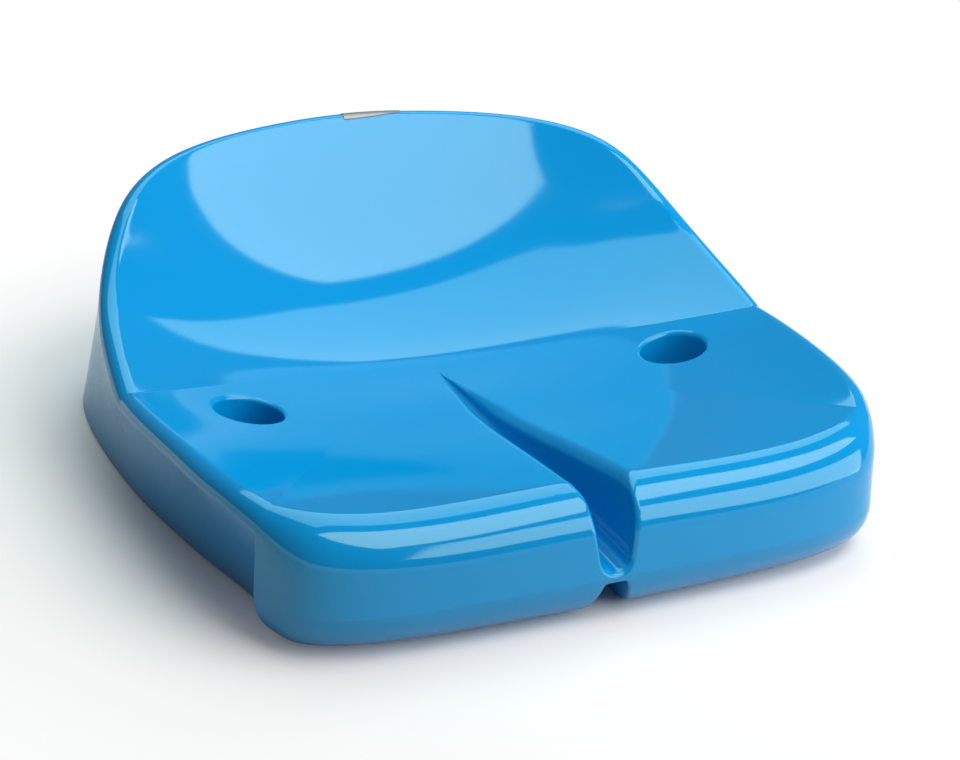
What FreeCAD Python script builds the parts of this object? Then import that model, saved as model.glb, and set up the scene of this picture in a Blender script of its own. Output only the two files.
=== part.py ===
import FreeCAD, Part
import math
import os

os.makedirs("parts", exist_ok=True)

# A low-back stadium seat: one hollow blow-moulded shell with two bolt cups,
# a drain groove, and the steel hardware that sits in the cups.
# Millimetres. x runs across the seat, y from front to back, z up from the base.
# Left and right are the sitter's, so left is the half with x above zero.

V = FreeCAD.Vector

WALL = 3.0

# Key sections on the half with x above zero, from the middle of the front to the middle
# of the back. Each row holds x and y of the rim, height of its crown, radius of the roll,
# the angles where the roll starts on the seat side and ends on the wall, x and y of the
# base edge, and on the front x and y of the parting edge
FRONT_KEYS = [
    (0.0, -191.3, 72.0, 29.0, 87.0, 11.0, 0.0, -173.0, 0.0, -195.5),
    (54.0, -191.2, 71.3, 29.0, 87.0, 11.0, 54.0, -172.0, 54.0, -195.2),
    (105.0, -190.0, 70.9, 28.5, 87.0, 10.5, 104.0, -168.5, 105.0, -193.8),
    (143.0, -185.7, 72.6, 27.0, 87.0, 9.0, 139.0, -163.5, 144.0, -189.3),
    (168.2, -176.0, 74.4, 24.0, 88.0, 5.0, 159.0, -157.0, 170.0, -178.0),
    (186.0, -149.0, 75.6, 12.0, 91.0, 1.0, 166.0, -149.0, 186.5, -149.0),
]
SIDE_KEYS = [
    (186.0, -149.0, 75.6, 12.0, 91.0, 1.0, 166.0, -149.0),
    (193.0, -131.0, 77.4, 10.0, 95.0, -1.0, 170.0, -131.0),
    (200.0, -105.0, 77.0, 9.0, 100.0, -2.0, 175.0, -105.0),
    (205.5, -66.0, 74.4, 8.0, 106.0, -2.0, 185.5, -66.0),
    (209.5, -28.0, 70.9, 8.0, 108.0, -2.0, 194.0, -28.0),
    (211.5, 14.0, 66.5, 8.0, 102.0, -2.0, 201.3, 14.0),
]
BACK_KEYS = [
    (211.5, 14.0, 66.5, 8.0, 102.0, -2.0, 201.3, 14.0),
    (209.3, 48.0, 76.0, 8.0, 117.0, -2.0, 204.6, 50.0),
    (203.5, 84.0, 88.2, 7.4, 124.0, 0.0, 206.0, 87.0),
    (191.0, 119.0, 108.0, 6.8, 130.0, 0.0, 204.0, 122.0),
    (173.0, 147.0, 128.4, 6.4, 128.0, 0.0, 196.0, 153.0),
    (150.0, 170.0, 138.6, 6.0, 122.0, 0.0, 176.0, 182.0),
    (123.0, 189.0, 142.4, 6.0, 118.0, 0.0, 144.0, 202.0),
    (63.0, 211.0, 145.2, 6.0, 115.0, 0.0, 72.0, 213.0),
    (0.0, 218.0, 146.5, 6.0, 115.0, 0.0, 0.0, 216.0),
]

# Columns of the plan, which run on smoothly from one run of sections into the next
PLAN = (0, 1, 6, 7)

# Height of the parting edge, below which the front tucks in to the base
PART_Z = 27.0

# Middle line of the seat face between the front roll and the back roll
MID_LINE = [
    (-126.0, 63.9), (-85.0, 54.9), (-43.0, 46.0), (0.0, 39.5), (40.0, 34.8), (70.0, 35.4),
    (100.0, 43.5), (130.0, 59.4), (160.0, 86.7), (180.0, 110.5),
]
# Bend of the seat face across the seat, in rise per millimetre squared, from front to back
DISH_BEND = [
    (-160.0, -0.0001), (-126.0, 0.0001), (-85.0, 0.0003), (-43.0, 0.0005), (0.0, 0.00063),
    (45.0, 0.00094), (87.0, 0.0013), (130.0, 0.0018), (165.0, 0.002), (210.0, 0.002),
]
# What the rim still lacks in height is made up towards it, by this power of the way out
POLE_Y = 85.0
EDGE_POWER = 6

# Bolt cups: their place, round wall, floor height, rounding of the mouth, plastic around them,
# and how far the solid that cuts the mouth reaches into the one that cuts the wall
CUP_X = 139.0
CUP_R = 19.9
CUP_FLOOR = 8.0
CUP_LIP = 2.6
CUP_WALL = 2.0
CUP_SEAM = 0.3

# Drain groove: it runs level from its tip in the low middle of the seat to the front
GROOVE_TIP_Y = 48.0
GROOVE_TIP_Z = 33.2
GROOVE_MOUTH_Y = -204.0
GROOVE_MOUTH_Z = 28.4
GROOVE_DRAFT = 9.0
# Radius of its banks, their least radius, and how far they may reach into its sides
GROOVE_BANK = 8.0
BANK_LEAST = 0.3
BANK_SHARE = 0.9
# Where a bank ends: short of level on the outside, for a crisp edge, and level in the hollow
BANK_END = 100.0
HOLLOW_BANK_END = 90.0
# Radius of its round bottom, from the mouth to the tip
GROOVE_ROUND = [
    (-204.0, 9.2), (-174.0, 8.7), (-126.0, 7.4), (-85.0, 6.4), (-43.0, 5.0), (0.0, 3.4), (48.0, 1.0),
]

# Arched channel in the underside, below the groove
CHANNEL_BASE = 28.0
CHANNEL_ROOF = 13.0
CHANNEL_SKIN = 5.0
CHANNEL_END_Y = 60.0
CHANNEL_RAMP = 24.0

# Blow hole in the underside
VENT_R = 4.0
VENT_X = 60.0
VENT_Y = 120.0

# Steel sleeve and washer in each cup, for an M10 bolt
BOLT_R = 5.25
SLEEVE_R = 8.0
WASHER_R = 16.0
WASHER_T = 2.5
WASHER_EDGE = 0.3

LABEL_X = 16.0
LABEL_LONG = 40.0
LABEL_WIDE = 8.4
LABEL_T = 0.5

# How far a cutting solid runs past what it cuts
PAST = 1.0
# How fine the smooth faces are: the degree of their curves, their poles along each run
# of the rim, and their poles across the dish, the roll, the upper and the lower wall
DEGREE = 3
FRONT_POLES = 45
SIDE_POLES = 18
BACK_POLES = 61
DISH_POLES = 16
ROLL_POLES = 9
WALL_POLES = 4
TUCK_POLES = 7
GROOVE_SECTIONS = 15
# Steps in which the rim's inner line is read on the front, the side and the back
RIM_STEPS = (90, 70, 120)
# Share of the front run at each end over which the inner skin gives up its parting edge
FADE = 0.09
# Half the span over which a slope is measured, and the steepest slope squared that counts
SLOPE_SPAN = 2.0
STEEPEST = 3.0


def natural_spline(knots, values):
    """Cubic through the values, straight at both ends, as a function of the knot value."""
    n = len(knots)
    step = [knots[i + 1] - knots[i] for i in range(n - 1)]
    rise = [(values[i + 1] - values[i]) / step[i] for i in range(n - 1)]
    low = [0.0] * n
    right = [0.0] * n
    for i in range(1, n - 1):
        width = 2.0 * (knots[i + 1] - knots[i - 1]) - step[i - 1] * low[i - 1]
        low[i] = step[i] / width
        right[i] = (6.0 * (rise[i] - rise[i - 1]) - step[i - 1] * right[i - 1]) / width
    bend = [0.0] * n
    for i in range(n - 2, 0, -1):
        bend[i] = right[i] - low[i] * bend[i + 1]

    def value(t):
        i = 0
        while i < n - 2 and t > knots[i + 1]:
            i += 1
        a = (knots[i + 1] - t) / step[i]
        b = (t - knots[i]) / step[i]
        curl = (a ** 3 - a) * bend[i] + (b ** 3 - b) * bend[i + 1]
        return a * values[i] + b * values[i + 1] + curl * step[i] ** 2 / 6.0

    return value


def straight_between(rows, t):
    """Value at t on the straight runs between the rows (place, value)."""
    if t <= rows[0][0]:
        return rows[0][1]
    for (a, va), (b, vb) in zip(rows, rows[1:]):
        if t <= b:
            return va + (vb - va) * (t - a) / (b - a)
    return rows[-1][1]


def greville(count):
    """Where the poles of an even, clamped curve sit along it, from 0 to 1."""
    spans = count - DEGREE
    places = []
    for i in range(count):
        knots = [min(max(i + k + 1 - DEGREE, 0), spans) for k in range(DEGREE)]
        places.append(sum(knots) / (DEGREE * spans))
    return places


def mirrored(row):
    """The same key section on the half with x below zero."""
    out = list(row)
    for place in (0, 6, 8):
        if place < len(row):
            out[place] = -row[place]
    return tuple(out)


def with_normals(rows, before, after):
    """Each key section with the outward direction of the rim in plan added at its end."""
    line = [before] + rows + [after]
    out = []
    for a, row, b in zip(line, line[1:], line[2:]):
        to_row = math.hypot(row[0] - a[0], row[1] - a[1])
        from_row = math.hypot(b[0] - row[0], b[1] - row[1])
        dx = (row[0] - a[0]) / to_row ** 2 + (b[0] - row[0]) / from_row ** 2
        dy = (row[1] - a[1]) / to_row ** 2 + (b[1] - row[1]) / from_row ** 2
        size = math.hypot(dx, dy)
        out.append(row + (dy / size, -dx / size))
    return out


class Sector:
    """A run of key sections, read at any place from 0 to 1 along the rim."""

    def __init__(self, before, rows, after, count):
        self.count = count
        self.block = len(rows[0]) > 8
        line = before + rows + after
        reach = [0.0]
        for a, b in zip(line, line[1:]):
            reach.append(reach[-1] + math.hypot(b[0] - a[0], b[1] - a[1]))
        first = len(before)
        last = first + len(rows) - 1
        places = [(r - reach[first]) / (reach[last] - reach[first]) for r in reach]
        self.columns = []
        for c, column in enumerate(zip(*with_normals(rows, before[-1], after[0]))):
            if c in PLAN:
                self.columns.append(natural_spline(places, [row[c] for row in line]))
            else:
                self.columns.append(natural_spline(places[first:last + 1], list(column)))

    def at(self, t, inset):
        """Points of the section at t, gone in by the inset: roll, upper wall, lower wall."""
        v = [c(t) for c in self.columns]
        nx, ny = v[-2:]
        size = math.hypot(nx, ny)
        nx, ny = nx / size, ny / size
        x, y, top, r, angle, last, bx, by = v[:8]
        start, end = math.radians(angle), math.radians(last)
        back = r * math.cos(end)
        centre = V(x - back * nx, y - back * ny, top - r)
        arc = []
        for g in greville(ROLL_POLES):
            a = start + (end - start) * g
            reach = (r - inset) * math.cos(a)
            arc.append(centre + V(reach * nx, reach * ny, (r - inset) * math.sin(a)))
        foot = V(bx - inset * nx, by - inset * ny, inset)
        low = arc[-1]
        share = (low.z - PART_Z) / (low.z - foot.z)
        knee = low + (foot - low) * share
        tuck = 0.0
        if self.block:
            bulge = V(v[8] - inset * nx, v[9] - inset * ny, PART_Z) - knee
            tuck = 1.0
            if inset != 0:
                way = min(min(t, 1.0 - t) / FADE, 1.0)
                tuck = way * way * (3.0 - 2.0 * way)
            knee = knee + bulge * tuck
        upper = [low + (knee - low) * g for g in greville(WALL_POLES)]
        lower = []
        for g in greville(TUCK_POLES):
            flat = knee + (foot - knee) * g
            a = g * math.pi / 2
            wide = 1.0 - math.cos(a)
            deep = math.sin(a)
            curve = V(knee.x + (foot.x - knee.x) * wide, knee.y + (foot.y - knee.y) * wide,
                      knee.z + (foot.z - knee.z) * deep)
            lower.append(flat + (curve - flat) * tuck)
        lower[0] = upper[-1]
        return arc, upper, lower


class Shape:
    """The whole seat skin: four runs around the rim and the dish between them."""

    def __init__(self):
        front = [mirrored(r) for r in FRONT_KEYS[:0:-1]] + FRONT_KEYS
        back = BACK_KEYS + [mirrored(r) for r in BACK_KEYS[-2::-1]]
        other = [mirrored(r) for r in SIDE_KEYS[::-1]]
        runs = [front, SIDE_KEYS, back, other]
        counts = (FRONT_POLES, SIDE_POLES, BACK_POLES, SIDE_POLES)
        sectors = []
        for i, (rows, count) in enumerate(zip(runs, counts)):
            sectors.append(Sector(runs[i - 1][-3:-1], rows, runs[(i + 1) % 4][1:3], count))
        self.front, self.side, self.back, self.other = sectors
        edge = []
        halves = ((self.front, 0.5, 1.0), (self.side, 0.0, 1.0), (self.back, 0.0, 0.5))
        for (sector, a, b), steps in zip(halves, RIM_STEPS):
            for i in range(steps):
                edge.append(sector.at(a + (b - a) * i / steps, 0.0)[0][0])
        edge.append(self.back.at(0.5, 0.0)[0][0])
        line = [(edge[0].y, edge[0].z)] + MID_LINE + [(edge[-1].y, edge[-1].z)]
        self.middle = natural_spline([p[0] for p in line], [p[1] for p in line])
        self.bend = natural_spline([p[0] for p in DISH_BEND], [p[1] for p in DISH_BEND])
        self.ends = (edge[0].y, edge[-1].y)
        angles = [math.atan2(p.y - POLE_Y, p.x) for p in edge]
        self.reach = [(a, math.hypot(p.x, p.y - POLE_Y)) for a, p in zip(angles, edge)]
        self.lack = [(a, self.short(p)) for a, p in zip(angles, edge)]

    def dished(self, x, y):
        """Height of the plain dish, without the pull of the rim."""
        return self.middle(y) + self.bend(y) * x * x

    def short(self, edge):
        """How far the plain dish stays below the rim's inner line."""
        return edge.z - self.dished(edge.x, edge.y)

    def height(self, x, y):
        """Height of the seat face above the base plane."""
        y = min(max(y, self.ends[0]), self.ends[1])
        angle = math.atan2(y - POLE_Y, abs(x))
        way = min(math.hypot(x, y - POLE_Y) / straight_between(self.reach, angle), 1.0)
        return self.dished(x, y) + way ** EDGE_POWER * straight_between(self.lack, angle)

    def slopes(self, x, y):
        """Rise of the seat face per millimetre along x and along y."""
        d = SLOPE_SPAN
        along_x = (self.height(x + d, y) - self.height(x - d, y)) / (2 * d)
        along_y = (self.height(x, y + d) - self.height(x, y - d)) / (2 * d)
        return along_x, along_y

    def under(self, x, y, inset):
        """Height of the face after going in by the inset, square to the surface."""
        sx, sy = self.slopes(x, y)
        return self.height(x, y) - inset * math.sqrt(1.0 + min(sx * sx + sy * sy, STEEPEST))

    def dish_row(self, edge, inset):
        """Points from the pole of the dish out to the roll."""
        points = []
        for g in greville(DISH_POLES)[:-1]:
            x, y = edge.x * g, POLE_Y + (edge.y - POLE_Y) * g
            z = self.dished(x, y) + g ** EDGE_POWER * self.short(edge)
            if inset != 0:
                z = self.under(x, y, inset)
            points.append(V(x, y, z))
        return points + [edge]


def even_knots(count):
    """Multiplicities and knots of an even, clamped curve with this many poles."""
    spans = count - DEGREE
    return [DEGREE + 1] + [1] * (spans - 1) + [DEGREE + 1], [float(i) for i in range(spans + 1)]


def face_of(grid):
    """One smooth face whose poles are the rows of points given."""
    mu, ku = even_knots(len(grid))
    mv, kv = even_knots(len(grid[0]))
    surface = Part.BSplineSurface()
    surface.buildFromPolesMultsKnots(grid, mu, mv, ku, kv, False, False, DEGREE, DEGREE)
    return surface.toShape()


def edge_of(points):
    """The curve along one row of poles."""
    mults, knots = even_knots(len(points))
    curve = Part.BSplineCurve()
    curve.buildFromPolesMultsKnots(points, mults, knots, False, DEGREE)
    return curve.toShape()


def flat_face(edges):
    """The flat face inside a closed line of edges."""
    return Part.Face(Part.Wire(Part.__sortEdges__(edges)))


def skin(form, inset):
    """The seat skin as a closed solid, gone in by the inset on every side."""
    faces = []
    rims = []
    ends = {}
    for name in ("front", "side", "back", "other"):
        sector = getattr(form, name)
        sections = [sector.at(g, inset) for g in greville(sector.count)]
        dish = [form.dish_row(arc[0], inset) for arc, _, _ in sections]
        for grid in (dish, *zip(*sections)):
            faces.append(face_of(list(grid)))
        rims.append(edge_of([s[2][-1] for s in sections]))
        ends[name] = (sections[0], sections[-1])
    if inset == 0:
        for block, wall in ((ends["front"][1], ends["side"][0]), (ends["front"][0], ends["other"][1])):
            faces.append(flat_face([edge_of(line) for line in block[1:] + wall[1:]]))
    faces.append(flat_face(rims))
    shell = Part.makeShell(faces)
    shell.sewShape()
    solid = Part.makeSolid(shell)
    if solid.Volume < 0:
        solid.reverse()
    return solid


def box_between(low, high):
    """A box from its low corner to its high corner."""
    size = V(*high) - V(*low)
    return Part.makeBox(size.x, size.y, size.z, V(*low))


def groove_floor(y):
    """Height of the lowest line of the drain groove."""
    share = (y - GROOVE_TIP_Y) / (GROOVE_MOUTH_Y - GROOVE_TIP_Y)
    return GROOVE_TIP_Z + (GROOVE_MOUTH_Z - GROOVE_TIP_Z) * share


def arc_edge(centre, radius, start, end):
    """Arc in the plane across the groove, from one angle in degrees to the other."""
    def point(a):
        a = math.radians(a)
        return centre + V(radius * math.cos(a), 0, radius * math.sin(a))

    return Part.Arc(point(start), point((start + end) / 2), point(end)).toShape()


def groove_section(form, y, grow):
    """Outline of the drain groove at y, as a wire: round bottom, drafted sides, rolled banks."""
    draft = math.radians(GROOVE_DRAFT)
    bottom = straight_between(GROOVE_ROUND, y)
    face = form.height(0, y)
    depth = face - groove_floor(y)
    bank = min(GROOVE_BANK, BANK_SHARE * (depth / (1 - math.sin(draft)) - bottom))
    middle = V(0, y, groove_floor(y) + bottom)
    run = (face - bank * (1 - math.sin(draft)) - middle.z + bottom * math.sin(draft)) / math.cos(draft)
    reach = bottom * math.cos(draft) + run * math.sin(draft) + bank * math.cos(draft)
    heel = V(reach, y, face - bank)
    mirror_heel = V(-reach, y, face - bank)
    bank_r = max(bank - grow, BANK_LEAST)
    crest = BANK_END if grow == 0 else HOLLOW_BANK_END
    low = arc_edge(middle, bottom + grow, -180.0 + GROOVE_DRAFT, -GROOVE_DRAFT)
    right = arc_edge(heel, bank_r, 180.0 - GROOVE_DRAFT, crest)
    left = arc_edge(mirror_heel, bank_r, 180.0 - crest, GROOVE_DRAFT)
    right_start, right_end = right.Vertexes[0].Point, right.Vertexes[1].Point
    left_start, left_end = left.Vertexes[0].Point, left.Vertexes[1].Point
    top = form.height(0, form.ends[0]) + GROOVE_BANK
    corners = [V(right_end.x, y, top), V(left_start.x, y, top)]
    edges = [low, Part.makeLine(low.Vertexes[1].Point, right_start), right,
             Part.makeLine(right_end, corners[0]), Part.makeLine(corners[0], corners[1]),
             Part.makeLine(corners[1], left_start), left, Part.makeLine(left_end, low.Vertexes[0].Point)]
    return Part.Wire(edges)


def groove(form, grow):
    """The drain groove as a solid to cut with, grown by the wall it leaves round itself."""
    start = GROOVE_TIP_Y + grow
    wires = []
    for i in range(GROOVE_SECTIONS):
        y = start + (GROOVE_MOUTH_Y - start) * i / (GROOVE_SECTIONS - 1)
        wires.append(groove_section(form, y, grow))
    return Part.makeLoft(wires, True, False)


def channel(grow):
    """The arched channel under the groove, as a solid to cut with."""
    slope = (CHANNEL_BASE - CHANNEL_ROOF) / 2 / (GROOVE_MOUTH_Z - CHANNEL_SKIN)
    half = CHANNEL_BASE / 2 + grow

    def section(y, roof):
        low, high = half + slope * PAST, half - slope * roof
        points = [V(low, y, -PAST), V(high, y, roof), V(-high, y, roof), V(-low, y, -PAST)]
        return Part.makePolygon(points + points[:1])

    ramp = CHANNEL_END_Y - CHANNEL_RAMP
    roof = groove_floor(ramp) - CHANNEL_SKIN + grow
    wires = [section(GROOVE_MOUTH_Y, GROOVE_MOUTH_Z - CHANNEL_SKIN + grow), section(ramp + grow, roof),
             section(CHANNEL_END_Y + grow, PAST)]
    return Part.makeLoft(wires, True, True)


def cup(form, side):
    """One bolt cup with its softly rounded mouth, as a solid to cut with."""
    x = side * CUP_X
    sx, sy = form.slopes(x, 0)
    mouth = V(x, 0, form.height(x, 0))
    air = CUP_R
    well = Part.makeCylinder(CUP_R, mouth.z + air - CUP_FLOOR, V(x, 0, CUP_FLOOR))
    rim = CUP_R + CUP_LIP
    start, end = V(CUP_R - CUP_SEAM, 0, -CUP_LIP), V(rim, 0, 0)
    between = V(rim - CUP_LIP * math.cos(math.pi / 4), 0, CUP_LIP * (math.sin(math.pi / 4) - 1))
    outline = [Part.makeLine(V(0, 0, -CUP_LIP), start), Part.Arc(start, between, end).toShape(),
               Part.makeLine(end, V(rim, 0, air)), Part.makeLine(V(rim, 0, air), V(0, 0, air)),
               Part.makeLine(V(0, 0, air), V(0, 0, -CUP_LIP))]
    flare = Part.Face(Part.Wire(outline)).revolve(V(0, 0, 0), V(0, 0, 1), 360)
    flare.Placement = FreeCAD.Placement(mouth, FreeCAD.Rotation(V(0, 0, 1), V(-sx, -sy, 1)))
    return well.fuse(flare)


def bore(side, radius, low, high):
    """A round solid on the bolt axis."""
    return Part.makeCylinder(radius, high - low, V(side * CUP_X, 0, low))


def seat_shell(form, outer):
    """Hollow one-piece shell, open only at the bolt bores and the blow hole."""
    drain = groove(form, 0.0)
    arch = channel(0.0)
    hollow = skin(form, WALL).cut([groove(form, WALL), channel(WALL)])
    crown = outer.BoundBox.ZMax
    for side in (-1, 1):
        hollow = hollow.cut(bore(side, CUP_R + CUP_LIP + CUP_WALL, -PAST, crown))
    vent = Part.makeCylinder(VENT_R, 4 * WALL, V(VENT_X, VENT_Y, -2 * WALL))
    cuts = [drain, arch, hollow, vent]
    for side in (-1, 1):
        cuts += [cup(form, side), bore(side, SLEEVE_R, -PAST, CUP_FLOOR + PAST)]
    return outer.cut(cuts)


def bolt_sleeve(side):
    """Steel spacer tube through the floor of a cup."""
    return bore(side, SLEEVE_R, 0.0, CUP_FLOOR).cut(bore(side, BOLT_R, -PAST, CUP_FLOOR + PAST))


def load_washer(side):
    """Large steel washer on the floor of a cup."""
    disc = bore(side, WASHER_R, CUP_FLOOR, CUP_FLOOR + WASHER_T)
    disc = disc.makeChamfer(WASHER_EDGE, disc.Edges)
    return disc.cut(bore(side, BOLT_R, CUP_FLOOR - PAST, CUP_FLOOR + WASHER_T + PAST))


def number_plate(form, outer):
    """Thin label bent over the crown of the back rim."""
    radius = BACK_KEYS[-1][3]
    y, z = BACK_KEYS[-1][1] - radius, BACK_KEYS[-1][2] - radius
    low = (LABEL_X - LABEL_LONG / 2, y - LABEL_WIDE / 2, z)
    high = (LABEL_X + LABEL_LONG / 2, y + LABEL_WIDE / 2, z + 2 * radius)
    return skin(form, -LABEL_T).common(box_between(low, high)).cut(outer)


def save(name, shape):
    """Writes one piece to its file, as a plain solid where it is one."""
    solid = shape.Solids[0] if len(shape.Solids) == 1 else shape
    print(name, len(shape.Solids), "solid, valid:", solid.isValid(), round(solid.Volume), "mm3")
    solid.exportStep("parts/" + name + ".step")


form = Shape()
outer = skin(form, 0.0)
save("seat_shell", seat_shell(form, outer))
save("number_plate", number_plate(form, outer))
for name, side in (("left", 1), ("right", -1)):
    save(name + "_bolt_sleeve", bolt_sleeve(side))
    save(name + "_load_washer", load_washer(side))
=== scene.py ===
# %% Load the frame
import math

import bmesh
import bpy
import numpy as np
from mathutils import Matrix, Vector
from mathutils.bvhtree import BVHTree


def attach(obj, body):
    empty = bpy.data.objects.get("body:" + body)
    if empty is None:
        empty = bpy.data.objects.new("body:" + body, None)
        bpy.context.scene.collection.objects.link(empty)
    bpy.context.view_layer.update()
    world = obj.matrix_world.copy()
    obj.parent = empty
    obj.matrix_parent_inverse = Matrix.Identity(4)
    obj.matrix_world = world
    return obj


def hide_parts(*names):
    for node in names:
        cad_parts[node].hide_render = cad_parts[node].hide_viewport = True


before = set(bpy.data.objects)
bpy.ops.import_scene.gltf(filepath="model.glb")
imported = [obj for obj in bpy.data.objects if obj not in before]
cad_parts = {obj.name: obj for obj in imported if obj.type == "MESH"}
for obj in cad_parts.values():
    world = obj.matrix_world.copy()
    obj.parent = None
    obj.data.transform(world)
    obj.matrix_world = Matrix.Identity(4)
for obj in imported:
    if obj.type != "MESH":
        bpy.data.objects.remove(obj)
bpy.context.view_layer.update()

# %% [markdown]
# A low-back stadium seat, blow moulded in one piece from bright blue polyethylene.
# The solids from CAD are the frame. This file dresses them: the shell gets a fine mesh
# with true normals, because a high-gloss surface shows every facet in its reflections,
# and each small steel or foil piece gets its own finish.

MM = 0.001

# %% [markdown]
# The shape of the seat follows a few lines: the rim seen from above, how high its crown
# runs, how round the rolled edge is, and where the walls meet the ground. Between the
# sections listed here every line is a smooth cubic, so the same few numbers can give a
# coarse or a fine mesh. Millimetres are easier to read here, and are turned into metres
# when the mesh is made.

# %% Key sections of the rim
# x, y of the rim, crown height, roll radius, first and last roll angle, x, y of the base
# edge, and at the front x, y of the parting edge
FRONT_KEYS = np.array([
    (0.0, -191.3, 72.0, 29.0, 87.0, 11.0, 0.0, -173.0, 0.0, -195.5),
    (54.0, -191.2, 71.3, 29.0, 87.0, 11.0, 54.0, -172.0, 54.0, -195.2),
    (105.0, -190.0, 70.9, 28.5, 87.0, 10.5, 104.0, -168.5, 105.0, -193.8),
    (143.0, -185.7, 72.6, 27.0, 87.0, 9.0, 139.0, -163.5, 144.0, -189.3),
    (168.2, -176.0, 74.4, 24.0, 88.0, 5.0, 159.0, -157.0, 170.0, -178.0),
    (186.0, -149.0, 75.6, 12.0, 91.0, 1.0, 166.0, -149.0, 186.5, -149.0),
])
SIDE_KEYS = np.array([
    (186.0, -149.0, 75.6, 12.0, 91.0, 1.0, 166.0, -149.0),
    (193.0, -131.0, 77.4, 10.0, 95.0, -1.0, 170.0, -131.0),
    (200.0, -105.0, 77.0, 9.0, 100.0, -2.0, 175.0, -105.0),
    (205.5, -66.0, 74.4, 8.0, 106.0, -2.0, 185.5, -66.0),
    (209.5, -28.0, 70.9, 8.0, 108.0, -2.0, 194.0, -28.0),
    (211.5, 14.0, 66.5, 8.0, 102.0, -2.0, 201.3, 14.0),
])
BACK_KEYS = np.array([
    (211.5, 14.0, 66.5, 8.0, 102.0, -2.0, 201.3, 14.0),
    (209.3, 48.0, 76.0, 8.0, 117.0, -2.0, 204.6, 50.0),
    (203.5, 84.0, 88.2, 7.4, 124.0, 0.0, 206.0, 87.0),
    (191.0, 119.0, 108.0, 6.8, 130.0, 0.0, 204.0, 122.0),
    (173.0, 147.0, 128.4, 6.4, 128.0, 0.0, 196.0, 153.0),
    (150.0, 170.0, 138.6, 6.0, 122.0, 0.0, 176.0, 182.0),
    (123.0, 189.0, 142.4, 6.0, 118.0, 0.0, 144.0, 202.0),
    (63.0, 211.0, 145.2, 6.0, 115.0, 0.0, 72.0, 213.0),
    (0.0, 218.0, 146.5, 6.0, 115.0, 0.0, 0.0, 216.0),
])
MID_LINE = [
    (-126.0, 63.9), (-85.0, 54.9), (-43.0, 46.0), (0.0, 39.5), (40.0, 34.8), (70.0, 35.4),
    (100.0, 43.5), (130.0, 59.4), (160.0, 86.7), (180.0, 110.5),
]
DISH_BEND = np.array([
    (-160.0, -0.0001), (-126.0, 0.0001), (-85.0, 0.0003), (-43.0, 0.0005), (0.0, 0.00063),
    (45.0, 0.00094), (87.0, 0.0013), (130.0, 0.0018), (165.0, 0.002), (210.0, 0.002),
])
POLE_Y = 85.0
EDGE_POWER = 6
PART_Z = 27.0


# %% [markdown]
# A designer would pull a spline through these sections. Blender's own curves don't pass
# through rows of ten numbers at once, so a natural cubic is worked out here: it is one small
# linear system, and it gives every column of the table its own smooth line.

# %% A smooth line through given values
def cubic(knots, values):
    """Cubic through the values with straight ends; takes and gives arrays."""
    knots, values = np.asarray(knots, float), np.asarray(values, float)
    step = np.diff(knots)
    rise = np.diff(values) / step
    n = len(knots)
    system = np.eye(n)
    right = np.zeros(n)
    for i in range(1, n - 1):
        system[i, i - 1:i + 2] = step[i - 1], 2 * (step[i - 1] + step[i]), step[i]
        right[i] = 6 * (rise[i] - rise[i - 1])
    bend = np.linalg.solve(system, right)

    def value(t):
        t = np.asarray(t, float)
        i = np.clip(np.searchsorted(knots, t) - 1, 0, n - 2)
        a = (knots[i + 1] - t) / step[i]
        b = (t - knots[i]) / step[i]
        curl = (a ** 3 - a) * bend[i] + (b ** 3 - b) * bend[i + 1]
        return a * values[i] + b * values[i + 1] + curl * step[i] ** 2 / 6

    return value


def mirrored(rows):
    """The same sections on the other half, in reverse order."""
    out = rows[::-1].copy()
    out[:, [c for c in (0, 6, 8) if c < rows.shape[1]]] *= -1
    return out


# %% Outward directions of the rim
def with_normals(rows, before, after):
    """The rows with the outward direction in plan added at their end."""
    line = np.vstack([before[:2], rows[:, :2], after[:2]])
    gap = np.diff(line, axis=0)
    pull = gap / (gap ** 2).sum(1, keepdims=True)
    way = pull[:-1] + pull[1:]
    way /= np.linalg.norm(way, axis=1, keepdims=True)
    return np.column_stack([rows, way[:, 1], -way[:, 0]])


around = {
    "front": np.vstack([mirrored(FRONT_KEYS)[:-1], FRONT_KEYS]),
    "side": SIDE_KEYS,
    "back": np.vstack([BACK_KEYS, mirrored(BACK_KEYS)[1:]]),
    "other": mirrored(SIDE_KEYS),
}
PLAN = (0, 1, 6, 7)     # the columns that are x or y of a line in plan


def run_of_rim(i):
    """Curves for every column of one run; the plan goes on smoothly into its neighbours."""
    runs = list(around.values())
    before, rows, after = runs[i - 1][-3:-1, :8], runs[i], runs[(i + 1) % 4][1:3, :8]
    line = np.vstack([before, rows[:, :8], after])
    reach = np.concatenate([[0], np.cumsum(np.linalg.norm(np.diff(line[:, :2], axis=0), axis=1))])
    first, last = 2, 1 + len(rows)
    places = (reach - reach[first]) / (reach[last] - reach[first])
    full = with_normals(rows, before[-1], after[0])
    return [cubic(places, line[:, c]) if c in PLAN else cubic(places[first:last + 1], full[:, c])
            for c in range(full.shape[1])]


RUNS = {name: run_of_rim(i) for i, name in enumerate(around)}
print("runs of the rim:", {name: len(rows) for name, rows in around.items()}, "key sections")

# %% [markdown]
# One section runs from the inner line of the rolled rim, over its crown, down the wall
# and to the ground. A real moulding has no razor edges, so each crease gets a small round
# of its own: three short steps instead of one corner.

# %% One section of the rim and the walls
ROLL_STEPS = 18
WALL_STEPS = 8
TUCK_STEPS = 12
CREASE_R = 0.9
LOW_CREASE_R = 0.54
BASE_CREASE_R = 0.5


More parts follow.
